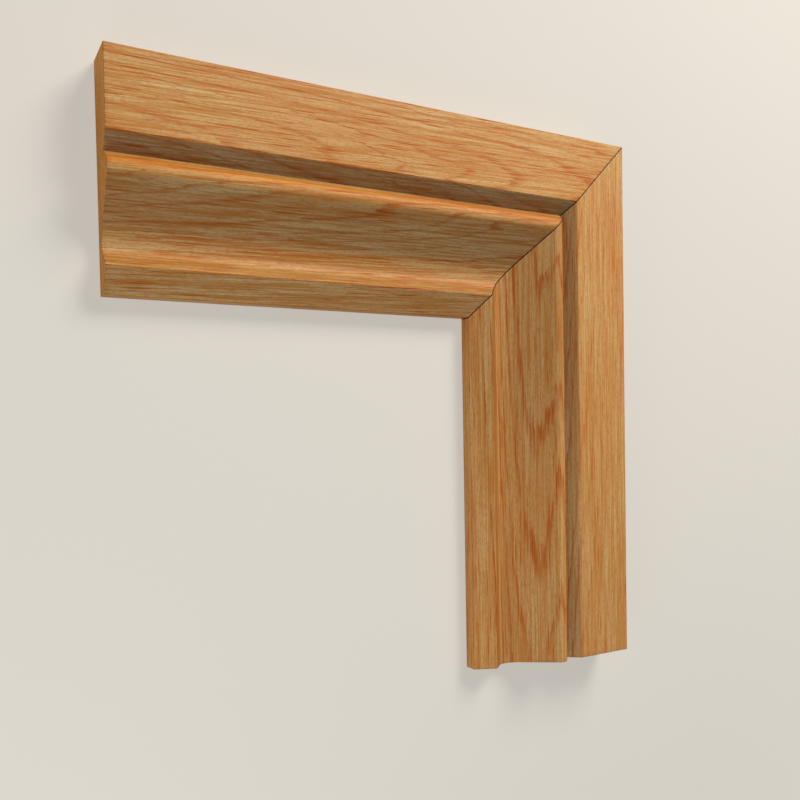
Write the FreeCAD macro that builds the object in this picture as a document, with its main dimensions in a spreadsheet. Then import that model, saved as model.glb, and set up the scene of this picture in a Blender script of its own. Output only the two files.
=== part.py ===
import FreeCAD, Part
import math
import os
import Sketcher

# Mitred corner of a door architrave in solid oak: a head length and a leg length of one moulding,
# meeting face to face at 45 degrees. The corner lies on its flat back with the moulded face up.
# X runs along the head towards the mitre, Y runs up the leg towards the mitre, Z points out of the face.
# The origin is on the back plane, under the middle of the corner's overall square.

doc = FreeCAD.newDocument("ArchitraveCorner")

# Driving dimensions in millimetres. The section is set out from the thin inner edge, so a wider board
# gains its width in the flat fascia. Every thickness is measured up from the flat back.
DRIVING_DIMENSIONS = {
    "head_length": 274,  # square-cut end of the head to the long point of its mitre
    "leg_length": 274,  # foot of the leg to the long point of its mitre
    "moulding_width": 95,
    "edge_thickness": 6.3,  # thin inner edge
    "lip_width": 11.4,  # inner edge to the arris at the top of the sloping lip
    "lip_thickness": 11.2,
    "rise_width": 8.6,  # arris to the bottom of the hollow
    "hollow_thickness": 5.6,
    "hollow_rise_radius": 6,  # tight side of the hollow, under the arris
    "hollow_fall_radius": 15.5,  # slow side of the hollow, under the ogee
    "ogee_width": 28,  # bottom of the hollow to the crest of the bead
    "bead_radius": 4.8,
    "crest_thickness": 20,  # finished thickness of the board, at the crest of the bead
    "crest_width": 7,  # crest of the bead to the bottom of the quirk
    "quirk_thickness": 13.2,
    "quirk_wall_width": 7,  # bottom of the quirk to the inner edge of the fascia
    "fascia_thickness": 18.6,
    "arris_radius": 0.5,  # arrises of the face, eased by sanding
}

sheet = doc.addObject("Spreadsheet::Sheet", "Sizes")
for row, (alias, size) in enumerate(DRIVING_DIMENSIONS.items(), start=1):
    sheet.set(f"A{row}", alias)
    sheet.set(f"B{row}", str(size))
    sheet.setAlias(f"B{row}", alias)
doc.recompute()

# Vertex numbers of a line or an arc in a sketch, and the sketch's own origin.
START, END, CENTRE = 1, 2, 3
ORIGIN = (-1, START)

# First guesses of the slopes between the round stretches, in degrees. The tangent constraints settle them.
BEAD_SIDE_SLOPE = 60
OGEE_SLOPE = 33
RISE_SLOPE = 45

# Two points closer than this, in millimetres, are one point.
SAME_POINT = 0.001


def new_sketch(body, name, plane):
    """Start an empty sketch on one of the body's own origin planes."""
    sketch = body.newObject("Sketcher::SketchObject", name)
    support = next(feature for feature in body.Origin.OriginFeatures if feature.Role == plane)
    sketch.AttachmentSupport = (support, "")
    sketch.MapMode = "FlatFace"
    return sketch


def dimension(sketch, name, expression, kind, *places):
    """Add a named dimension to the sketch and bind it to the sheet."""
    index = sketch.addConstraint(Sketcher.Constraint(kind, *places, sheet.evalExpression(expression)))
    sketch.renameConstraint(index, name)
    sketch.setExpression(f"Constraints.{name}", expression)


def line(first, last):
    return Part.LineSegment(first, last)


def arc(centre, radius, first_degrees, last_degrees):
    """An arc drawn anticlockwise between two directions from its centre."""
    circle = Part.Circle(centre, FreeCAD.Vector(0, 0, 1), radius)
    return Part.ArcOfCircle(circle, math.radians(first_degrees), math.radians(last_degrees))


def draw_section(body):
    """Draw the moulding's section: x across the width from the inner edge, y up the thickness."""
    at = FreeCAD.Vector
    inner_back = at(0, 0)
    outer_back = at(sheet.moulding_width, 0)
    outer_front = at(sheet.moulding_width, sheet.fascia_thickness)
    inner_front = at(0, sheet.edge_thickness)
    arris = at(sheet.lip_width, sheet.lip_thickness)
    hollow = at(arris.x + sheet.rise_width, sheet.hollow_thickness)
    bead_centre = at(hollow.x + sheet.ogee_width, sheet.crest_thickness - sheet.bead_radius)
    quirk = at(bead_centre.x + sheet.crest_width, sheet.quirk_thickness)
    fascia_edge = at(quirk.x + sheet.quirk_wall_width, sheet.fascia_thickness)

    bead_arc = arc(bead_centre, sheet.bead_radius, 90 - BEAD_SIDE_SLOPE, 90 + OGEE_SLOPE)
    fall_centre = hollow + at(0, sheet.hollow_fall_radius)
    fall_arc = arc(fall_centre, sheet.hollow_fall_radius, 270, 270 + OGEE_SLOPE)
    rise_centre = hollow + at(0, sheet.hollow_rise_radius)
    rise_arc = arc(rise_centre, sheet.hollow_rise_radius, 270 - RISE_SLOPE, 270)

    sketch = new_sketch(body, f"{body.Name}_section", "XZ_Plane")
    back = sketch.addGeometry(line(inner_back, outer_back))
    outer_edge = sketch.addGeometry(line(outer_back, outer_front))
    fascia = sketch.addGeometry(line(outer_front, fascia_edge))
    quirk_wall = sketch.addGeometry(line(fascia_edge, quirk))
    bead_side = sketch.addGeometry(line(quirk, bead_arc.StartPoint))
    bead = sketch.addGeometry(bead_arc)
    ogee = sketch.addGeometry(line(bead_arc.EndPoint, fall_arc.EndPoint))
    fall = sketch.addGeometry(fall_arc)
    rise = sketch.addGeometry(rise_arc)
    rise_line = sketch.addGeometry(line(rise_arc.StartPoint, arris))
    lip = sketch.addGeometry(line(arris, inner_front))
    inner_edge = sketch.addGeometry(line(inner_front, inner_back))

    corners = [
        ((back, END), (outer_edge, START)),
        ((outer_edge, END), (fascia, START)),
        ((fascia, END), (quirk_wall, START)),
        ((quirk_wall, END), (bead_side, START)),
        ((fall, START), (rise, END)),
        ((rise_line, END), (lip, START)),
        ((lip, END), (inner_edge, START)),
        ((inner_edge, END), (back, START)),
        ((back, START), ORIGIN),
    ]
    smooth_joins = [
        ((bead_side, END), (bead, START)),
        ((bead, END), (ogee, START)),
        ((ogee, END), (fall, END)),
        ((rise, START), (rise_line, START)),
    ]
    for first, second in corners:
        sketch.addConstraint(Sketcher.Constraint("Coincident", *first, *second))
    for first, second in smooth_joins:
        sketch.addConstraint(Sketcher.Constraint("Tangent", *first, *second))
    for level in (back, fascia):
        sketch.addConstraint(Sketcher.Constraint("Horizontal", level))
    for upright in (outer_edge, inner_edge):
        sketch.addConstraint(Sketcher.Constraint("Vertical", upright))
    sketch.addConstraint(Sketcher.Constraint("Vertical", fall, CENTRE, fall, START))
    sketch.addConstraint(Sketcher.Constraint("Vertical", rise, CENTRE, rise, END))

    widths = {
        "moulding_width": (back, START, back, END),
        "lip_width": (*ORIGIN, lip, START),
        "rise_width": (lip, START, rise, END),
        "ogee_width": (rise, END, bead, CENTRE),
        "crest_width": (bead, CENTRE, quirk_wall, END),
        "quirk_wall_width": (quirk_wall, END, fascia, END),
    }
    thicknesses = {
        "edge_thickness": (*ORIGIN, lip, END),
        "lip_thickness": (*ORIGIN, lip, START),
        "hollow_thickness": (*ORIGIN, rise, END),
        "quirk_thickness": (*ORIGIN, quirk_wall, END),
        "fascia_thickness": (*ORIGIN, fascia, END),
    }
    radii = {"hollow_rise_radius": rise, "hollow_fall_radius": fall, "bead_radius": bead}
    for alias, places in widths.items():
        dimension(sketch, alias, f"Sizes.{alias}", "DistanceX", *places)
    for alias, places in thicknesses.items():
        dimension(sketch, alias, f"Sizes.{alias}", "DistanceY", *places)
    for alias, curve in radii.items():
        dimension(sketch, alias, f"Sizes.{alias}", "Radius", curve)
    bead_height = "Sizes.crest_thickness - Sizes.bead_radius"
    dimension(sketch, "bead_centre_height", bead_height, "DistanceY", *ORIGIN, bead, CENTRE)
    arrises = (outer_front, fascia_edge, arris, inner_front)
    return sketch, arrises


def long_edges(run, corners):
    """Names of the run's lengthwise edges that pass through the given corners of the section."""
    names = []
    for number, edge in enumerate(run.Shape.Edges, start=1):
        ends = [vertex.Point for vertex in edge.Vertexes]
        for corner in corners:
            if all(math.dist((end.x, end.z), (corner.x, corner.y)) < SAME_POINT for end in ends):
                names.append(f"Edge{number}")
    return names


def cut_mitre(body, square_corner, direction):
    """Saw the 45 degree mitre off one end: the waste is a right triangle, as long as the board is wide.

    square_corner is the sheet's expression for the place along the length of the waste's square corner,
    at the inner edge. direction is the way the waste runs from there, +1 or -1 along the length.
    """
    sketch = new_sketch(body, f"{body.Name}_mitre", "XY_Plane")
    width = sheet.moulding_width
    along_length = sheet.evalExpression(square_corner)
    corner = FreeCAD.Vector(0, along_length)
    long_point = FreeCAD.Vector(width, along_length)
    short_point = FreeCAD.Vector(0, along_length + direction * width)
    across = sketch.addGeometry(line(corner, long_point))
    saw_line = sketch.addGeometry(line(long_point, short_point))
    along = sketch.addGeometry(line(short_point, corner))
    for first, second in ((across, saw_line), (saw_line, along), (along, across)):
        sketch.addConstraint(Sketcher.Constraint("Coincident", first, END, second, START))
    sketch.addConstraint(Sketcher.Constraint("Horizontal", across))
    sketch.addConstraint(Sketcher.Constraint("Vertical", along))
    sketch.addConstraint(Sketcher.Constraint("PointOnObject", across, START, -2))
    dimension(sketch, "waste_width", "Sizes.moulding_width", "DistanceX", across, START, across, END)
    ends = (along, END, along, START) if direction > 0 else (along, START, along, END)
    dimension(sketch, "waste_length", "Sizes.moulding_width", "DistanceY", *ends)
    dimension(sketch, "waste_place", square_corner, "DistanceY", *ORIGIN, across, START)

    whole = body.Tip.Shape.Volume
    pocket = body.newObject("PartDesign::Pocket", f"{body.Name}_mitre_cut")
    pocket.Profile = sketch
    pocket.Type = "ThroughAll"
    pocket.Reversed = True
    doc.recompute()
    if pocket.Shape.Volume >= whole:
        raise RuntimeError(f"the mitre of {body.Label} cut nothing")


def moulding(label, length_alias, square_corner, direction):
    """One length of the moulding: the shared section run along it, arrises eased, one end mitred."""
    body = doc.addObject("PartDesign::Body", label)
    body.Label = label
    section, arrises = draw_section(body)
    run = body.newObject("PartDesign::Pad", f"{label}_run")
    run.Profile = section
    run.setExpression("Length", f"Sizes.{length_alias}")
    run.Reversed = True
    doc.recompute()
    easing = body.newObject("PartDesign::Fillet", f"{label}_easing")
    easing.Base = (run, long_edges(run, arrises))
    easing.setExpression("Radius", "Sizes.arris_radius")
    doc.recompute()
    cut_mitre(body, square_corner, direction)
    return body


def lay(body, x_expression, y_expression, turn_degrees):
    """Lay a length in its place in the corner, turned about the upright axis."""
    body.Placement.Rotation = FreeCAD.Rotation(FreeCAD.Vector(0, 0, 1), turn_degrees)
    body.setExpression("Placement.Base.x", x_expression)
    body.setExpression("Placement.Base.y", y_expression)


# The leg runs up from its foot to the mitre at its far end.
leg = moulding("leg_moulding", "leg_length", "Sizes.leg_length", -1)
lay(leg, "Sizes.head_length / 2 - Sizes.moulding_width", "-Sizes.leg_length / 2", 0)

# The head starts at the mitre and runs away to its square-cut end, a quarter turn from the leg.
head = moulding("head_moulding", "head_length", "0", 1)
lay(head, "Sizes.head_length / 2", "Sizes.leg_length / 2 - Sizes.moulding_width", 90)

doc.recompute()
for item in doc.Objects:
    if "Invalid" in item.State or "Error" in item.State:
        raise RuntimeError(f"{item.Label} did not compute: {item.State}")
for body in (head, leg):
    if body.Shape.isNull() or not body.Shape.isValid():
        raise RuntimeError(f"{body.Label} has no valid solid")

os.makedirs("parts", exist_ok=True)
for body in (head, leg):
    body.Shape.exportStep(f"parts/{body.Label}.step")
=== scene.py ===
import math

import bpy
import numpy as np
from mathutils import Matrix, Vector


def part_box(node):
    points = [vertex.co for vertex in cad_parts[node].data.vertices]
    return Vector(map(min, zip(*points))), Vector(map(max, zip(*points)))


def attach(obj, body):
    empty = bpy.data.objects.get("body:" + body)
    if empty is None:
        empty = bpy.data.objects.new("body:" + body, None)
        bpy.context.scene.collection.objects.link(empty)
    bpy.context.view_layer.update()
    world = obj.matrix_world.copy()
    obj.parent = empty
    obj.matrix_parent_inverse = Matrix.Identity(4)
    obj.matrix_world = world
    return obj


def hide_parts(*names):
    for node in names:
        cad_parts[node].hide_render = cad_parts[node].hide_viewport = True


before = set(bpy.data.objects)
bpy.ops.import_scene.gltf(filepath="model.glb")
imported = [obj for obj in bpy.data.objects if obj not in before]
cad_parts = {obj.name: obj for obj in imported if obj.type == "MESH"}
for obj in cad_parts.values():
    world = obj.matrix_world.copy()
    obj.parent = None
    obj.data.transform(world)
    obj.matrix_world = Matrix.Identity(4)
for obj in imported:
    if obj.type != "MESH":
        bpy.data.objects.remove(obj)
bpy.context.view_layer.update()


# The leg moulding: the upright length of the architrave, solid oak, run through a moulder in one pass.
# It is sawn square at its foot and at 45 degrees at its top, where it is glued to the head.
# The face is sanded and wears a thin coat of satin oil; the back and the sawn ends are left as cut.
MM = 0.001
MOULDING_WIDTH = 95.0 * MM
LEG_LENGTH = 274.0 * MM
EDGE_THICKNESS = 6.3 * MM
LIP_WIDTH = 11.4 * MM
LIP_THICKNESS = 11.2 * MM
HOLLOW_ACROSS = 20.0 * MM
HOLLOW_THICKNESS = 5.6 * MM
HOLLOW_RISE_RADIUS = 6.0 * MM
HOLLOW_FALL_RADIUS = 15.5 * MM
BEAD_ACROSS = 48.0 * MM
BEAD_RADIUS = 4.8 * MM
CREST_THICKNESS = 20.0 * MM
QUIRK_ACROSS = 55.0 * MM
QUIRK_THICKNESS = 13.2 * MM
FASCIA_ACROSS = 62.0 * MM
FASCIA_THICKNESS = 18.6 * MM
ARRIS_RADIUS = 0.5 * MM
BACK_ARRIS_RADIUS = 0.42 * MM
SAWN_END_EASING = 0.35 * MM
MITRE_EASING = 0.34 * MM
POINT_SPACING = 0.9 * MM
POINT_INSET = 0.12 * MM
RISE_STEPS = 12
FALL_STEPS = 14
BEAD_STEPS = 20
ARRIS_STEPS = 6
BACK_ARRIS_STEPS = 4
EDGE_POINTS = 12
EASING_POINTS = 5
RUN_POINTS = 138


def straight(start, end):
    """Points along a straight run, evenly spaced, with one more point just inside each end so that the
    shading of a small round beside the run doesn't spread over it."""
    start, end = np.array(start), np.array(end)
    length = np.linalg.norm(end - start)
    inset = min(POINT_INSET, 0.1 * length)
    count = max(2, int(math.ceil(length / POINT_SPACING)))
    share = np.linspace(inset, length - inset, count) / length
    share = np.concatenate([[0.0], share, [1.0]])
    return start + share[:, None] * (end - start)


def arc(centre, radius, first_angle, last_angle, steps):
    """Points on a circle: centre plus radius times (cosine, sine) of an angle that runs evenly."""
    angle = np.linspace(first_angle, last_angle, steps + 1)
    return np.array(centre) + radius * np.column_stack([np.cos(angle), np.sin(angle)])


def touch_angle(point, centre, radius):
    """Angle on a circle where the line from an outside point touches it: the direction of the point, plus
    the angle whose cosine is radius over distance."""
    away = np.array(point) - np.array(centre)
    return math.atan2(away[1], away[0]) + math.acos(radius / np.linalg.norm(away))


def rounded_corner(before, corner, after, radius, steps):
    """The small round that eases a corner: its centre lies on the corner's bisector, and it meets both runs
    at radius over the tangent of half the corner's angle from the corner."""
    before, corner, after = np.array(before), np.array(corner), np.array(after)
    back = (before - corner) / np.linalg.norm(before - corner)
    onward = (after - corner) / np.linalg.norm(after - corner)
    half = 0.5 * math.acos(float(np.clip(back @ onward, -1.0, 1.0)))
    bisector = (back + onward) / np.linalg.norm(back + onward)
    centre = corner + bisector * radius / math.sin(half)
    foot_one = corner + back * radius / math.tan(half) - centre
    foot_two = corner + onward * radius / math.tan(half) - centre
    first = math.atan2(foot_one[1], foot_one[0])
    sweep = math.atan2(foot_two[1], foot_two[0]) - first
    sweep = (sweep + math.pi) % (2.0 * math.pi) - math.pi
    return arc(centre, radius, first, first + sweep, steps)


def joined(*runs):
    """Runs of points put end to end, with the point that two neighbours share kept once."""
    return np.concatenate([runs[0]] + [run[1:] for run in runs[1:]])


def moulding_section():
    """The section of the moulding as (across, up) points in three parts that share their corners: the face
    from the inner edge to the outer, and the two edges from back to face, with one number of points each.
    The hollow is two arcs that meet at its lowest point, and the bead is one. The straight runs touch them:
    from the lip to the hollow, from the hollow across to the bead, where the angle's cosine is the sum of
    the radii over the distance between centres, and from the bead to the quirk."""
    inner_back, outer_back = (0.0, 0.0), (MOULDING_WIDTH, 0.0)
    inner_front = (0.0, EDGE_THICKNESS)
    lip_arris = (LIP_WIDTH, LIP_THICKNESS)
    rise_centre = (HOLLOW_ACROSS, HOLLOW_THICKNESS + HOLLOW_RISE_RADIUS)
    fall_centre = (HOLLOW_ACROSS, HOLLOW_THICKNESS + HOLLOW_FALL_RADIUS)
    bead_centre = (BEAD_ACROSS, CREST_THICKNESS - BEAD_RADIUS)
    quirk = (QUIRK_ACROSS, QUIRK_THICKNESS)
    fascia_edge = (FASCIA_ACROSS, FASCIA_THICKNESS)
    outer_front = (MOULDING_WIDTH, FASCIA_THICKNESS)

    rise_touch = touch_angle(lip_arris, rise_centre, HOLLOW_RISE_RADIUS)
    between = np.array(bead_centre) - np.array(fall_centre)
    cross_turn = math.acos((HOLLOW_FALL_RADIUS + BEAD_RADIUS) / np.linalg.norm(between))
    fall_touch = math.atan2(between[1], between[0]) - cross_turn
    bead_touch = touch_angle(quirk, bead_centre, BEAD_RADIUS)
    bottom = -0.5 * math.pi
    if rise_touch > 0.0:
        rise_touch = rise_touch - 2.0 * math.pi

    rise_arc = arc(rise_centre, HOLLOW_RISE_RADIUS, rise_touch, bottom, RISE_STEPS)
    fall_arc = arc(fall_centre, HOLLOW_FALL_RADIUS, bottom, fall_touch, FALL_STEPS)
    bead_arc = arc(bead_centre, BEAD_RADIUS, fall_touch + math.pi, bead_touch, BEAD_STEPS)
    inner_round = rounded_corner(inner_back, inner_front, lip_arris, ARRIS_RADIUS, ARRIS_STEPS)
    lip_round = rounded_corner(inner_front, lip_arris, rise_arc[0], ARRIS_RADIUS, ARRIS_STEPS)
    fascia_round = rounded_corner(quirk, fascia_edge, outer_front, ARRIS_RADIUS, ARRIS_STEPS)
    outer_round = rounded_corner(fascia_edge, outer_front, outer_back, ARRIS_RADIUS, ARRIS_STEPS)
    back_ease = (BACK_ARRIS_RADIUS, BACK_ARRIS_STEPS)
    inner_back_round = rounded_corner(outer_back, inner_back, inner_front, *back_ease)
    outer_back_round = rounded_corner(inner_back, outer_back, outer_front, *back_ease)

    face = joined(
        straight(inner_round[-1], lip_round[0]),
        lip_round,
        straight(lip_round[-1], rise_arc[0]),
        rise_arc,
        fall_arc,
        straight(fall_arc[-1], bead_arc[0]),
        bead_arc,
        straight(bead_arc[-1], quirk),
        straight(quirk, fascia_round[0]),
        fascia_round,
        straight(fascia_round[-1], outer_round[0]),
    )
    inner_rise = np.linspace(inner_back_round[-1], inner_round[0], EDGE_POINTS)
    outer_rise = np.linspace(outer_back_round[-1], outer_round[-1], EDGE_POINTS)
    inner_edge = joined(inner_back_round, inner_rise, inner_round)
    outer_edge = joined(outer_back_round, outer_rise, outer_round[::-1])
    return face, inner_edge, outer_edge


def shares_across(across, stations):
    """How strongly a mark shows at each place across: straight lines between stations, each given as
    (millimetres across, share), and nothing beyond the first and the last."""
    at, by = np.array(stations).T
    return np.interp(across, at * MM, by, 0.0, 0.0)


def moulding_mesh(length, rise_shade_share, slope_shade_share, quirk_shade_share, bead_shade_share, corner_shade):
    """The section carried along a length, as (across, along, up) points. Each point runs from the square
    end, along = 0, to the mitre, along = length - width + across. Close to both ends the section draws in by
    easing * (1 - sine) while it comes back by easing * (1 - cosine), a small quarter round. Each end is
    closed by a grid whose columns join the back to the face, so that its outline is the section itself.
    Gives points, faces, and seven shares for each point: how far it is end grain, in the mitre, under painted
    grey shade in the groove, at the foot of the bead and on the lip, rise, hollow and ogee, rubbed at an
    arris or under painted orange shade on the rise and hollow, under painted shade on the bead's side, on the
    back, and under painted shade on the way to the corner."""
    face, inner_edge, outer_edge = moulding_section()
    columns, rows = len(face), len(inner_edge)
    spread = (face[:, 0] - face[0, 0]) / (face[-1, 0] - face[0, 0])
    back = inner_edge[0] + spread[:, None] * (outer_edge[0] - inner_edge[0])
    loop = np.concatenate([back, outer_edge[1:-1], face[::-1], inner_edge[-2:0:-1]])
    around = len(loop)
    face_start = columns + rows - 2
    face_end = face_start + columns

    ahead = np.roll(loop, -1, axis=0) - loop
    ahead /= np.linalg.norm(ahead, axis=1)[:, None]
    tangent = ahead + np.roll(ahead, 1, axis=0)
    tangent /= np.linalg.norm(tangent, axis=1)[:, None]
    outward = np.column_stack([tangent[:, 1], -tangent[:, 0]])

    quarter = np.linspace(0.0, 0.5 * math.pi, EASING_POINTS)
    come_back, draw_in = 1.0 - np.cos(quarter), 1.0 - np.sin(quarter)
    run = np.linspace(0.0, 1.0, RUN_POINTS)[1:-1]
    on_run, on_end = np.zeros_like(run), np.zeros(EASING_POINTS)
    share = np.concatenate([on_end, run, on_end + 1.0])
    start_step = SAWN_END_EASING * np.concatenate([come_back, on_run, on_end])
    start_inset = SAWN_END_EASING * np.concatenate([draw_in, on_run, on_end])
    mitre_step = MITRE_EASING * np.concatenate([on_end, on_run, come_back[::-1]])
    mitre_inset = MITRE_EASING * np.concatenate([on_end, on_run, draw_in[::-1]])
    inset = start_inset + mitre_inset
    section = loop[None, :, :] - inset[:, None, None] * outward[None, :, :]
    across, up = section[:, :, 0], section[:, :, 1]
    mitre_reach = length - MOULDING_WIDTH + across
    first = SAWN_END_EASING * (share > 0.0)
    last = mitre_reach - math.sqrt(2.0) * MITRE_EASING * (share < 1.0)[:, None]
    along = first[:, None] + share[:, None] * (last - first[:, None])
    along = along + (start_step * (share == 0.0))[:, None]
    along = along - (math.sqrt(2.0) * mitre_step * (share == 1.0))[:, None]
    tube = np.stack([across, along, up], axis=2)
    rings = len(share)

    order = np.arange(rings * around).reshape(rings, around)
    following = np.roll(order, -1, axis=1)
    sides = np.stack([order[:-1], order[1:], following[1:], following[:-1]], axis=2).reshape(-1, 4)

    climb = np.linspace(0.0, 1.0, rows)[1:-1]
    inside = (rows - 2, columns - 2)
    closing = inside[0] * inside[1]
    points, faces = [tube.reshape(-1, 3)], [sides]
    added = rings * around
    for ring, turned in ((0, False), (rings - 1, True)):
        rim, rim_order = tube[ring], order[ring]
        low = rim[1:columns - 1]
        high = rim[face_start:face_end][::-1][1:-1]
        filling = low[None] + climb[:, None, None] * (high - low)[None]
        grid = np.empty((rows, columns), dtype=int)
        grid[0] = rim_order[:columns]
        grid[-1] = rim_order[face_start:face_end][::-1]
        grid[1:-1, -1] = rim_order[columns:face_start]
        grid[1:-1, 0] = rim_order[face_end:][::-1]
        grid[1:-1, 1:-1] = added + np.arange(closing).reshape(inside)
        cap = np.stack([grid[:-1, :-1], grid[:-1, 1:], grid[1:, 1:], grid[1:, :-1]], axis=2).reshape(-1, 4)
        points.append(filling.reshape(-1, 3))
        faces.append(cap[:, ::-1] if turned else cap)
        added += closing

    # These stations are painted shade, not dirt: a cool grey darkening of the lip, the rise, the hollow, the
    # ogee slope, the foot of the bead and the quirk.
    lip_shade = [(0.4, 0.0), (1.2, slope_shade_share), (10.5, slope_shade_share), (11.2, 0.0)]
    rise_shade = [(11.6, 0.0), (12.2, rise_shade_share), (15.0, 0.9 * rise_shade_share)]
    hollow_shade = [(17.5, 0.25 * rise_shade_share), (24.0, 0.2 * rise_shade_share)]
    slope_shade = [(27.0, slope_shade_share), (43.0, slope_shade_share), (45.5, 0.0)]
    bead_foot_shade = [(50.8, 0.0), (52.5, 0.7 * quirk_shade_share)]
    quirk_shade = [(55.0, quirk_shade_share), (61.2, 0.9 * quirk_shade_share), (61.9, 0.0)]
    face_shade_stations = lip_shade + rise_shade + hollow_shade + slope_shade + bead_foot_shade + quirk_shade
    # Painted shade: an orange darkening of the rise and, more weakly, of the hollow.
    rise_orange_shade = [(11.2, 0.0), (11.8, 0.9), (15.0, 0.85), (17.5, 0.12), (24.0, 0.08), (27.0, 0.0)]
    # Painted shade: an orange darkening from the crest of the bead down its side towards the quirk.
    bead_shade_stations = [(46.5, 0.0), (48.5, 0.35), (50.5, 1.0), (53.0, 1.0), (54.5, 0.2)]
    # Painted shade towards the corner: the inner slopes, rise and lip darken on the way to the mitre, where
    # less light falls.
    corner_shade_stations = [(0.4, 0.9), (15.0, 1.0), (18.0, 0.3), (24.0, 0.3), (28.0, 1.0), (61.4, 1.0), (62.0, 0.0)]
    on_face = np.zeros(around, bool)
    on_face[face_start:face_end] = True
    grime = on_face * shares_across(loop[:, 0], face_shade_stations)
    orange_shade = on_face * shares_across(loop[:, 0], rise_orange_shade)
    crest = on_face * bead_shade_share * shares_across(loop[:, 0], bead_shade_stations)
    corner_shade_across = on_face * shares_across(loop[:, 0], corner_shade_stations)
    bending = np.linalg.norm(ahead - np.roll(ahead, 1, axis=0), axis=1)
    sharp_bend, rubbed = 0.1, 0.6
    # Rubbed arrises are wear; on the rise and the hollow the same tint is painted shade.
    arris = np.maximum(rubbed * (bending > sharp_bend) * (grime == 0.0) * (crest == 0.0), orange_shade)
    # The painted shade grows smoothly along the length towards the mitre.
    shade_start, shade_run = 0.3, 0.5
    nearing = np.clip((share - shade_start) / shade_run, 0.0, 1.0)
    nearing = corner_shade * nearing * nearing * (3.0 - 2.0 * nearing)
    drawn_in = 0.3
    no_cap, whole_cap = np.zeros(closing), np.ones(closing)

    def marked(tube_shares, square_cap=no_cap, mitre_cap=no_cap):
        """One share for every point: those of the tube, then those of the two end grids."""
        return np.concatenate([tube_shares, square_cap, mitre_cap])

    marks = {
        "end_grain": marked(np.repeat(inset / inset.max() > drawn_in, around), whole_cap, whole_cap),
        "in_mitre": marked(np.repeat(mitre_inset > 0.0, around), no_cap, whole_cap),
        "grime": marked(np.tile(grime, rings)),
        "arris": marked(np.tile(arris, rings)),
        "crest": marked(np.tile(crest, rings)),
        "back": marked(np.tile(np.arange(around) < columns, rings)),
        "shade": marked(np.outer(nearing, corner_shade_across).ravel()),
    }
    return np.concatenate(points), np.concatenate(faces), marks


def moulding_piece(name, points, faces, marks):
    """A mesh object at the origin from whole arrays, smooth but for its sharp corners, with its marks kept as
    numbers on its points for the oak to read."""
    sharpest_smooth_corner = math.radians(35.0)
    mesh = bpy.data.meshes.new(name)
    mesh.from_pydata(points.tolist(), [], faces.tolist())
    for label, values in marks.items():
        layer = mesh.attributes.new(label, "FLOAT", "POINT")
        layer.data.foreach_set("value", values.astype(np.float32))
    mesh.shade_smooth()
    mesh.set_sharp_from_angle(angle=sharpest_smooth_corner)
    mesh.update()
    piece = bpy.data.objects.new(name, mesh)
    bpy.context.scene.collection.objects.link(piece)
    return piece


def on_screen(red, green, blue):
    """A colour as it shows on a screen, 0 to 255, in the renderer's linear numbers: the sRGB curve undone."""
    share = np.array([red, green, blue]) / 255.0
    linear = np.where(share <= 0.04045, share / 12.92, ((share + 0.055) / 1.055) ** 2.4)
    return (*(float(part) for part in linear), 1.0)


def add_node(tree, kind, inputs, **properties):
    """One shader node, with each named or numbered input joined to a socket or set to a value."""
    node = tree.nodes.new(kind)
    for label, value in properties.items():
        setattr(node, label, value)
    for label, value in inputs.items():
        if isinstance(value, bpy.types.NodeSocket):
            tree.links.new(value, node.inputs[label])
        else:
            node.inputs[label].default_value = value
    return node


def calc(tree, operation, first, second=0.0, third=0.0):
    """The result of one sum on one to three numbers."""
    inputs = {0: first, 1: second, 2: third}
    return add_node(tree, "ShaderNodeMath", inputs, operation=operation).outputs[0]


def vector_calc(tree, operation, first, second):
    """The result of one sum on two vectors."""
    return add_node(tree, "ShaderNodeVectorMath", {0: first, 1: second}, operation=operation).outputs[0]


def scaled(tree, vector, scale):
    """A vector times a number."""
    inputs = {0: vector, "Scale": scale}
    return add_node(tree, "ShaderNodeVectorMath", inputs, operation="SCALE").outputs[0]


def combined(tree, x, y, z=0.0):
    """A vector from three numbers."""
    return add_node(tree, "ShaderNodeCombineXYZ", {"X": x, "Y": y, "Z": z}).outputs[0]


def ramp(tree, value, low, high, to_low=0.0, to_high=1.0):
    """A smooth step: to_low up to low, to_high from high, an S curve between."""
    inputs = {"Value": value, "From Min": low, "From Max": high, "To Min": to_low, "To Max": to_high}
    return add_node(tree, "ShaderNodeMapRange", inputs, interpolation_type="SMOOTHSTEP").outputs[0]


def blend(tree, share, first, second, kind="MIX"):
    """Two colours mixed by a share."""
    inputs = {0: share, 6: first, 7: second}
    return add_node(tree, "ShaderNodeMix", inputs, data_type="RGBA", blend_type=kind).outputs[2]


def fibre_noise(tree, place, across, along, detail=2.0, roughness=0.5):
    """Noise drawn out along the grain: across and along are the length of one wave in millimetres."""
    drawn = vector_calc(tree, "MULTIPLY", place, (1.0 / across, 1.0 / along, 1.0 / across))
    inputs = {"Vector": drawn, "Scale": 1.0, "Detail": detail, "Roughness": roughness}
    return add_node(tree, "ShaderNodeTexNoise", inputs, noise_dimensions="3D").outputs


def streaks(tree, place, low, high, to_low=0.0, **wave):
    """Fibre noise with its range from low to high spread smoothly from to_low to 1."""
    return ramp(tree, fibre_noise(tree, place, **wave)[0], low, high, to_low)


def pore_cells(tree, place, across, along):
    """Cells drawn out along the grain, one pore in each: across and along are the mean spacing in
    millimetres. Gives the distance from the pore's middle, in spacings, and two random numbers of the
    pore's own."""
    drawn = vector_calc(tree, "MULTIPLY", place, (1.0 / across, 1.0 / along, 1.0 / across))
    cells = add_node(tree, "ShaderNodeTexVoronoi", {"Vector": drawn, "Scale": 1.0}, voronoi_dimensions="3D")
    luck = add_node(tree, "ShaderNodeSeparateColor", {0: cells.outputs["Color"]}).outputs
    return cells.outputs["Distance"], luck[0], luck[1]


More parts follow.
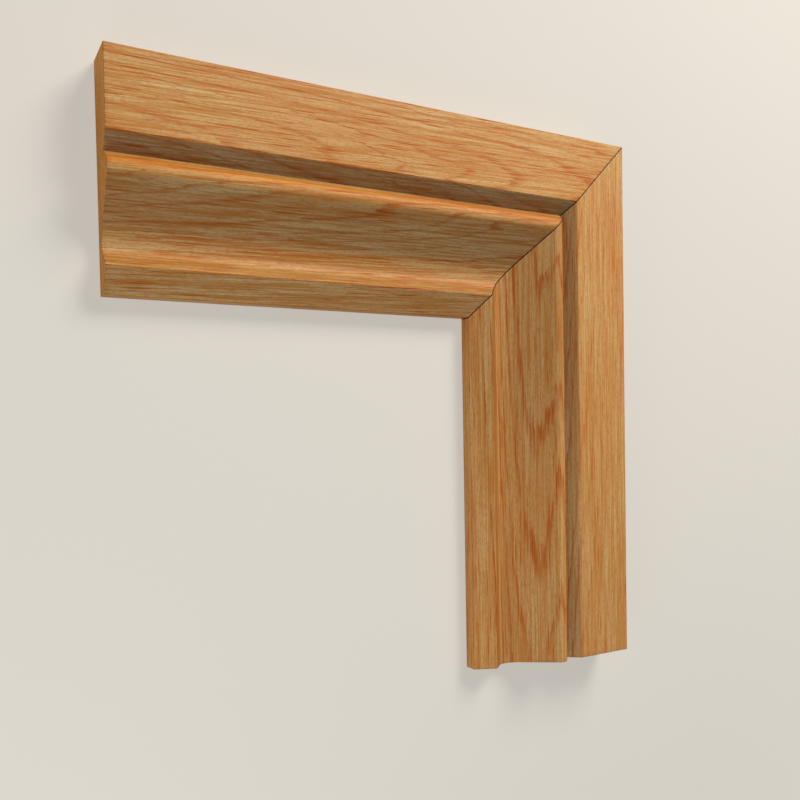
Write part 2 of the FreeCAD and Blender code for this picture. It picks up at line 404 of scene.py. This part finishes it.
def oak_grain_group():
    """Solid oak as a function of place in the board, all of it in millimetres. The growth rings are circles
    round a heart line that leans along the board, pushed about by noise in three sizes. Each ring starts with
    a sharp band of open pores, drawn out along the grain, and fades into dense late wood. Over that lie the
    tint of rubbed arrises and the tints of painted shade on the groove, lip, rise, hollow and ogee, on the
    bead's side and on the way to the corner, then the bare wood of the back with its cutter waves, the sawn
    ends with rays and saw marks, and the dark glue in the mitre, each as far as its mark says."""
    group = bpy.data.node_groups.new("oak_grain", "ShaderNodeTree")
    figure = ("Heart Across", "Heart Below", "Heart Lean", "Heart Drift", "Ring Width", "Streak Length",
              "Thread Strength", "Ring Jag", "Band Width", "Band Strength", "Flame Across", "Flame Reach",
              "Pore Bar", "Pore Strength", "Tree")
    marks = ("End Grain", "In Mitre", "Grime", "Arris", "Crest", "Back", "Shade")
    group.interface.new_socket(name="Board Place", in_out="INPUT", socket_type="NodeSocketVector")
    for label in figure + marks:
        group.interface.new_socket(name=label, in_out="INPUT", socket_type="NodeSocketFloat")
    group.interface.new_socket(name="Colour", in_out="OUTPUT", socket_type="NodeSocketColor")
    group.interface.new_socket(name="Roughness", in_out="OUTPUT", socket_type="NodeSocketFloat")
    group.interface.new_socket(name="Height", in_out="OUTPUT", socket_type="NodeSocketFloat")
    given = group.nodes.new("NodeGroupInput").outputs

    pale = on_screen(227, 189, 126)
    honey = on_screen(200, 136, 61)
    amber = on_screen(203, 122, 46)
    dash_tone = on_screen(202, 108, 30)
    band_tone = on_screen(188, 89, 10)
    pore_tone = on_screen(168, 80, 14)
    end_tone = on_screen(216, 138, 40)
    ray_tone = on_screen(228, 178, 118)
    raw_tone = on_screen(214, 174, 120)
    glue_tone = on_screen(38, 23, 10)
    # The four tints below are for rubbed arrises and painted shade: orange on the rise, hollow and bead, cool
    # grey in the groove and on the slopes, and a dimming towards the corner.
    rubbed_and_orange_shade_tint = (0.84, 0.62, 0.27, 1.0)
    bead_shade_tint = (0.90, 0.66, 0.26, 1.0)
    face_shade_tint = (0.64, 0.83, 1.20, 1.0)
    shade_tint = (0.81, 0.80, 0.77, 1.0)

    # Place in the tree: each board has its own stretch of noise, and its fibres drift across the board.
    tree_step = (53.0, 91.0, 37.0)
    place = scaled(group, given["Board Place"], 1.0 / MM)
    level = add_node(group, "ShaderNodeSeparateXYZ", {0: place}).outputs
    drift = calc(group, "MULTIPLY", level["Y"], given["Heart Drift"])
    fibre_place = combined(group, calc(group, "SUBTRACT", level["X"], drift), level["Y"], level["Z"])
    in_tree = vector_calc(group, "ADD", fibre_place, scaled(group, tree_step, given["Tree"]))
    in_fibre = vector_calc(group, "DIVIDE", in_tree, combined(group, 1.0, given["Streak Length"], 1.0))

    # Growth rings: the distance from the heart line, pushed about by slow, middling and ragged noise.
    bent = fibre_place
    for across, along, push in ((46.0, 170.0, 5.0), (9.0, 60.0, 1.3)):
        wander = fibre_noise(group, in_tree, across, along, detail=1.0)["Color"]
        wander = vector_calc(group, "SUBTRACT", wander, (0.5, 0.5, 0.5))
        wander = vector_calc(group, "MULTIPLY", wander, (push, 0.0, push))
        bent = vector_calc(group, "ADD", bent, wander)
    parts = add_node(group, "ShaderNodeSeparateXYZ", {0: bent}).outputs
    side = calc(group, "SUBTRACT", parts["X"], given["Heart Across"])
    lean = calc(group, "MULTIPLY", parts["Y"], given["Heart Lean"])
    depth = calc(group, "SUBTRACT", calc(group, "ADD", parts["Z"], given["Heart Below"]), lean)
    square = calc(group, "ADD", calc(group, "MULTIPLY", side, side), calc(group, "MULTIPLY", depth, depth))
    jag = fibre_noise(group, in_tree, across=1.7, along=22.0, detail=3.0, roughness=0.68)[0]
    jag = calc(group, "SUBTRACT", jag, 0.5)
    radius = calc(group, "MULTIPLY_ADD", jag, given["Ring Jag"], calc(group, "SQRT", square))

    # Bands of early wood: uneven seasons, each with its own width and strength, strongest in the flame.
    season_rate, season_spread, band_rise = 0.09, 2.0, 0.07
    season = calc(group, "MULTIPLY_ADD", radius, season_rate, given["Tree"])
    uneven = add_node(group, "ShaderNodeTexNoise", {"W": season, "Scale": 1.0}, noise_dimensions="1D")
    ring = calc(group, "DIVIDE", radius, given["Ring Width"])
    ring = calc(group, "MULTIPLY_ADD", uneven.outputs[0], season_spread, ring)
    ring_number = calc(group, "FLOOR", ring)
    ring_part = calc(group, "FRACT", ring)
    ring_luck = add_node(group, "ShaderNodeTexWhiteNoise", {"W": ring_number}, noise_dimensions="1D")
    ring_luck = ring_luck.outputs[0]
    band_end = calc(group, "MULTIPLY_ADD", ring_luck, 0.8, 0.6)
    band_end = calc(group, "MULTIPLY", band_end, given["Band Width"])
    starts = ramp(group, ring_part, 0.0, band_rise)
    fades = ramp(group, ring_part, band_rise, band_end, 1.0, 0.0)
    strength = calc(group, "MULTIPLY_ADD", ring_luck, 0.3, 0.7)
    patch = streaks(group, in_tree, 0.36, 0.54, to_low=0.75, across=17.0, along=80.0, detail=1.0)
    off_flame = calc(group, "ABSOLUTE", calc(group, "SUBTRACT", level["X"], given["Flame Across"]))
    near_flame = calc(group, "DIVIDE", off_flame, given["Flame Reach"])
    in_flame = ramp(group, near_flame, 0.7, 1.2, 1.0, 0.35)
    band = calc(group, "MULTIPLY", starts, fades)
    for share in (strength, calc(group, "MULTIPLY", patch, in_flame), given["Band Strength"]):
        band = calc(group, "MULTIPLY", band, share)

    # Fibres: pale threads, tongues that break up the bands, short flecks and broad clouds.
    threads = streaks(group, in_fibre, 0.36, 0.63, across=1.05, along=48.0, detail=3.0, roughness=0.72)
    tongues = streaks(group, in_fibre, 0.38, 0.60, across=1.0, along=30.0, detail=2.0, roughness=0.6)
    flecks = streaks(group, in_tree, 0.46, 0.64, across=0.5, along=2.0, detail=1.0)
    cloud = streaks(group, in_fibre, 0.34, 0.66, across=8.0, along=80.0, detail=2.0)

    # Pores: long ones that crowd into the bands and clouds, fine ones all over, and rays out from the heart.
    bar_spread = 0.12
    reach, chance, depth_luck = pore_cells(group, in_fibre, across=1.05, along=18.0)
    crowd = calc(group, "ADD", calc(group, "MULTIPLY", band, 0.75), calc(group, "MULTIPLY", cloud, 0.36))
    bar = calc(group, "SUBTRACT", given["Pore Bar"], crowd)
    bar_low = calc(group, "SUBTRACT", bar, bar_spread)
    bar_high = calc(group, "ADD", bar, bar_spread)
    rim = calc(group, "MULTIPLY_ADD", band, 0.20, 0.46)
    present = ramp(group, chance, bar_low, bar_high)
    pores = calc(group, "MULTIPLY", present, ramp(group, reach, 0.12, rim, 1.0, 0.0))
    fine_reach, fine_chance = pore_cells(group, in_fibre, across=0.6, along=6.0)[:2]
    fine_present = ramp(group, calc(group, "MULTIPLY_ADD", band, 0.4, fine_chance), 0.45, 0.70)
    fine_pores = calc(group, "MULTIPLY", fine_present, ramp(group, fine_reach, 0.15, 0.48, 1.0, 0.0))
    rays_per_radian, ray_rate = 45.0, 0.05
    turn = calc(group, "MULTIPLY", calc(group, "ARCTAN2", side, depth), rays_per_radian)
    spokes = combined(group, turn, calc(group, "MULTIPLY", radius, ray_rate))
    rays = add_node(group, "ShaderNodeTexNoise", {"Vector": spokes, "Scale": 1.0, "Detail": 1.0})
    rays = ramp(group, rays.outputs[0], 0.54, 0.62)

    # Colour: each layer, with its strength and tone, is laid over the last, and then come the tints of rubbed
    # arrises and painted shade.
    thread_share = calc(group, "SUBTRACT", threads, 0.5)
    thread_share = calc(group, "MULTIPLY_ADD", thread_share, given["Thread Strength"], 0.5)
    colour = blend(group, thread_share, honey, pale)
    flame = calc(group, "MULTIPLY", band, calc(group, "MULTIPLY_ADD", tongues, 0.75, 0.25))
    layers = (
        (cloud, 0.34, amber),
        (flame, 0.9, band_tone),
        (flecks, 0.36, dash_tone),
        (pores, given["Pore Strength"], blend(group, depth_luck, dash_tone, band_tone)),
        (fine_pores, 0.35, pore_tone),
    )
    for mask, layer_strength, tone in layers:
        colour = blend(group, calc(group, "MULTIPLY", mask, layer_strength), colour, tone)
    # These tints paint shade into the colour; only the rubbed arrises are wear.
    tints = (("Arris", rubbed_and_orange_shade_tint), ("Crest", bead_shade_tint), ("Grime", face_shade_tint), ("Shade", shade_tint))
    for mark, tint in tints:
        colour = blend(group, given[mark], colour, tint, "MULTIPLY")
    colour = blend(group, calc(group, "MULTIPLY", given["Back"], 0.45), colour, raw_tone)
    saw_place = vector_calc(group, "MULTIPLY", place, (0.02, 0.0, 1.3))
    saw_marks = add_node(group, "ShaderNodeTexNoise", {"Vector": saw_place, "Scale": 1.0, "Detail": 2.0})
    saw_marks = ramp(group, saw_marks.outputs[0], 0.36, 0.64)
    sawn = blend(group, 0.45, end_tone, colour)
    sawn = blend(group, calc(group, "MULTIPLY", saw_marks, 0.25), sawn, pore_tone)
    sawn = blend(group, calc(group, "MULTIPLY", rays, 0.4), sawn, ray_tone)
    colour = blend(group, given["End Grain"], colour, sawn)
    colour = blend(group, given["In Mitre"], colour, glue_tone)

    # Surface: satin on the face, duller in pores and on bare wood, with sunken pores and tool marks.
    satin, pore_dulling, bare_dulling = 0.55, 0.12, 0.18
    cutter_radians_per_mm = 3.6
    rough = calc(group, "MULTIPLY_ADD", pores, pore_dulling, satin)
    bare = calc(group, "MAXIMUM", given["End Grain"], given["Back"])
    rough = calc(group, "MULTIPLY_ADD", bare, bare_dulling, rough)
    sunk = calc(group, "MAXIMUM", pores, calc(group, "MULTIPLY", fine_pores, 0.6))
    height = calc(group, "SUBTRACT", calc(group, "MULTIPLY", threads, 0.25), sunk)
    cutter_wave = calc(group, "SINE", calc(group, "MULTIPLY", level["Y"], cutter_radians_per_mm))
    height = calc(group, "MULTIPLY_ADD", calc(group, "MULTIPLY", given["Back"], 0.35), cutter_wave, height)
    height = calc(group, "MULTIPLY_ADD", calc(group, "MULTIPLY", given["End Grain"], 0.8), saw_marks, height)
    out = add_node(group, "NodeGroupOutput", {"Colour": colour, "Roughness": rough, "Height": height})
    out.is_active_output = True
    return group


def oak_finish(name, turn, shift, **grain_values):
    """Oiled oak for one board: its own place in the tree, read from Object coordinates turned so that X runs
    across from the inner edge, Y along the grain and Z up from the back."""
    relief_share, relief_depth, oil_shine = 0.6, 0.12 * MM, 0.18
    material = bpy.data.materials.new(name)
    material.use_nodes = True
    tree = material.node_tree
    shader = tree.nodes["Principled BSDF"]
    seen = add_node(tree, "ShaderNodeTexCoord", {}).outputs["Object"]
    board = add_node(tree, "ShaderNodeMapping", {"Vector": seen, "Location": shift, "Rotation": turn})
    grain = add_node(tree, "ShaderNodeGroup", {}, node_tree=oak_grain)
    tree.links.new(board.outputs[0], grain.inputs["Board Place"])
    # Among the marks are painted shade on the groove and slopes, on the rise and hollow, on the bead's side
    # and towards the corner.
    for mark in ("end_grain", "in_mitre", "grime", "arris", "crest", "back", "shade"):
        worn = add_node(tree, "ShaderNodeAttribute", {}, attribute_name=mark)
        tree.links.new(worn.outputs["Fac"], grain.inputs[mark.replace("_", " ").title()])
    for label, value in grain_values.items():
        grain.inputs[label.replace("_", " ").title()].default_value = value
    relief = {"Strength": relief_share, "Distance": relief_depth, "Height": grain.outputs["Height"]}
    bump = add_node(tree, "ShaderNodeBump", relief)
    tree.links.new(grain.outputs["Colour"], shader.inputs["Base Color"])
    tree.links.new(grain.outputs["Roughness"], shader.inputs["Roughness"])
    tree.links.new(bump.outputs[0], shader.inputs["Normal"])
    shader.inputs["Specular IOR Level"].default_value = oil_shine
    return material


oak_grain = oak_grain_group()
leg_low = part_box("leg_moulding")[0]
# The shares given to the mesh set painted shade on the rise, the slopes, the groove, the bead's side and
# towards the corner.
points, faces, marks = moulding_mesh(
    LEG_LENGTH, rise_shade_share=1.0, slope_shade_share=0.0, quirk_shade_share=0.5, bead_shade_share=0.45, corner_shade=0.8)
leg_points = points + np.array(leg_low)
leg = moulding_piece("leg_oak", leg_points, faces, marks)
leg_turn = (0.0, 0.0, 0.0)
leg_shift = (-leg_low.x, 0.0, 0.0)
leg.data.materials.append(oak_finish(
    "leg_oak_finish", leg_turn, leg_shift, heart_across=55.5, heart_below=8.0, heart_lean=0.062,
    heart_drift=0.0, ring_jag=1.9, ring_width=3.2, streak_length=1.15, thread_strength=0.75, band_width=0.38,
    band_strength=1.25, flame_across=32.0, flame_reach=28.0, pore_bar=1.0, pore_strength=0.85, tree=17.0))
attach(leg, "root")
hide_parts("leg_moulding")


# The head moulding: the level length across the top of the opening, cut from another board of the same oak.
# It has the same section, turned a quarter, sawn square at its free end and glued to the leg at the mitre.
HEAD_LENGTH = 274.0 * MM
head_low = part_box("head_moulding")[0]
# The shares given to the mesh set painted shade on the rise, the slopes, the groove, the bead's side and
# towards the corner.
points, faces, marks = moulding_mesh(
    HEAD_LENGTH, rise_shade_share=0.7, slope_shade_share=0.3, quirk_shade_share=0.85, bead_shade_share=1.0, corner_shade=0.32)
head_points = points[:, [1, 0, 2]] + np.array(head_low)
head = moulding_piece("head_oak", head_points, faces[:, ::-1], marks)
head_turn = (0.0, 0.0, -0.5 * math.pi)
head_shift = (-head_low.y, 0.0, 0.0)
head.data.materials.append(oak_finish(
    "head_oak_finish", head_turn, head_shift, heart_across=66.0, heart_below=8.0, heart_lean=0.06,
    heart_drift=-0.03, ring_jag=1.2, ring_width=2.4, streak_length=1.2, thread_strength=1.0, band_width=0.25,
    band_strength=0.9, flame_across=62.0, flame_reach=50.0, pore_bar=0.80, pore_strength=0.85, tree=5.0))
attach(head, "root")
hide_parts("head_moulding")


# The stage: a plain pale floor just under the corner, a soft warm lamp above the far right, a weak white one
# low at the near left, a soft warm one far off to the left, and an even, dim and slightly blue surround.
FLOOR_DROP = 0.0004
FLOOR_REACH = 3.0
FLOOR_ROUGHNESS = 0.9
FLOOR_SHINE = 0.1
floor_tone = on_screen(229, 223, 212)
floor_corners = FLOOR_REACH * np.array([(-1, -1, 0), (1, -1, 0), (1, 1, 0), (-1, 1, 0)], float)
floor_corners[:, 2] = -FLOOR_DROP
floor_mesh = bpy.data.meshes.new("floor")
floor_mesh.from_pydata(floor_corners.tolist(), [], [(0, 1, 2, 3)])
floor = bpy.data.objects.new("floor", floor_mesh)
bpy.context.scene.collection.objects.link(floor)


def looked_at(tree):
    """1 for a ray that comes from the camera, off a shiny surface or through a clear one, and 0 for one that
    carries light from surface to surface: the sum of three answers of the light path."""
    path = add_node(tree, "ShaderNodeLightPath", {}).outputs
    either = calc(tree, "ADD", path["Is Camera Ray"], path["Is Glossy Ray"])
    return calc(tree, "ADD", either, path["Is Transmission Ray"])


floor_paint = bpy.data.materials.new("floor_paint")
floor_paint.use_nodes = True
floor_tree = floor_paint.node_tree
floor_matt = floor_tree.nodes["Principled BSDF"]
floor_matt.inputs["Base Color"].default_value = floor_tone
floor_matt.inputs["Roughness"].default_value = FLOOR_ROUGHNESS
floor_matt.inputs["Specular IOR Level"].default_value = FLOOR_SHINE
floor_even = add_node(floor_tree, "ShaderNodeEmission", {"Color": floor_tone, "Strength": 1.0})
floor_place = add_node(floor_tree, "ShaderNodeTexCoord", {}).outputs["Object"]
floor_distance = add_node(floor_tree, "ShaderNodeVectorMath", {0: floor_place}, operation="LENGTH")
floor_evenness = ramp(floor_tree, floor_distance.outputs["Value"], 0.25, 0.9, 0.6, 1.0)
floor_share = calc(floor_tree, "MULTIPLY", looked_at(floor_tree), floor_evenness)
floor_mix = {0: floor_share, 1: floor_matt.outputs[0], 2: floor_even.outputs[0]}
floor_seen = add_node(floor_tree, "ShaderNodeMixShader", floor_mix)
floor_tree.links.new(floor_seen.outputs[0], floor_tree.nodes["Material Output"].inputs["Surface"])
floor_mesh.materials.append(floor_paint)


def put_and_aim(thing, place, aim, up_hint):
    """A lamp or camera put at a place and turned so that its -Z points to the aim, with its Y as near as can
    be to the hint: three axes from two cross products."""
    ahead = np.array(aim) - np.array(place)
    ahead /= np.linalg.norm(ahead)
    right = np.cross(ahead, np.array(up_hint))
    right /= np.linalg.norm(right)
    up = np.cross(right, ahead)
    turn = Matrix(np.column_stack([right, up, -ahead]).tolist()).to_4x4()
    turn.translation = place
    thing.matrix_world = turn
    bpy.context.scene.collection.objects.link(thing)


def soft_lamp(name, place, aim, side, watts, tint):
    """A flat square lamp at a place, aimed at a point, out of the camera's own sight."""
    lamp = bpy.data.lights.new(name, "AREA")
    lamp.shape = "SQUARE"
    lamp.size = side
    lamp.energy = watts
    lamp.color = tint
    holder = bpy.data.objects.new(name, lamp)
    holder.visible_camera = False
    put_and_aim(holder, place, aim, (0.0, 0.0, 1.0))


warm = (1.0, 0.96, 0.90)
white = (1.0, 1.0, 1.0)
soft_lamp("key_lamp", (0.605, 0.984, 0.708), (0.06, 0.04, 0.0), side=0.6, watts=22.0, tint=warm)
soft_lamp("near_fill", (-0.32, -0.36, 0.22), (0.06, -0.13, 0.0), side=0.30, watts=0.74, tint=white)
soft_lamp("side_fill", (-1.45, 0.05, 0.50), (-0.05, 0.0, 0.0), side=0.5, watts=3.2, tint=warm)

surround_tone = (0.45, 0.82, 1.55, 1.0)
surround_strength = 0.06
world = bpy.data.worlds.new("pale_surround")
world.use_nodes = True
world_tree = world.node_tree
surround = world_tree.nodes["Background"]
surround.inputs["Color"].default_value = surround_tone
surround.inputs["Strength"].default_value = surround_strength
backdrop = add_node(world_tree, "ShaderNodeBackground", {"Color": floor_tone, "Strength": 1.0})
world_mix = {0: looked_at(world_tree), 1: surround.outputs[0], 2: backdrop.outputs[0]}
world_seen = add_node(world_tree, "ShaderNodeMixShader", world_mix)
world_tree.links.new(world_seen.outputs[0], world_tree.nodes["World Output"].inputs["Surface"])
bpy.context.scene.world = world
bpy.context.scene.view_settings.view_transform = "Standard"

camera_place = (-0.20118, -0.01619, 0.33716)
camera_aim = (-0.02428, -0.02724, 0.0)
camera_up = (0.03103, 0.99938, -0.01648)
camera_data = bpy.data.cameras.new("camera")
camera_data.sensor_width = 36.0
camera_data.lens = 36.104
camera_data.shift_x = 0.06386
camera_data.shift_y = 0.07325
camera = bpy.data.objects.new("camera", camera_data)
put_and_aim(camera, camera_place, camera_aim, camera_up)
bpy.context.scene.camera = camera
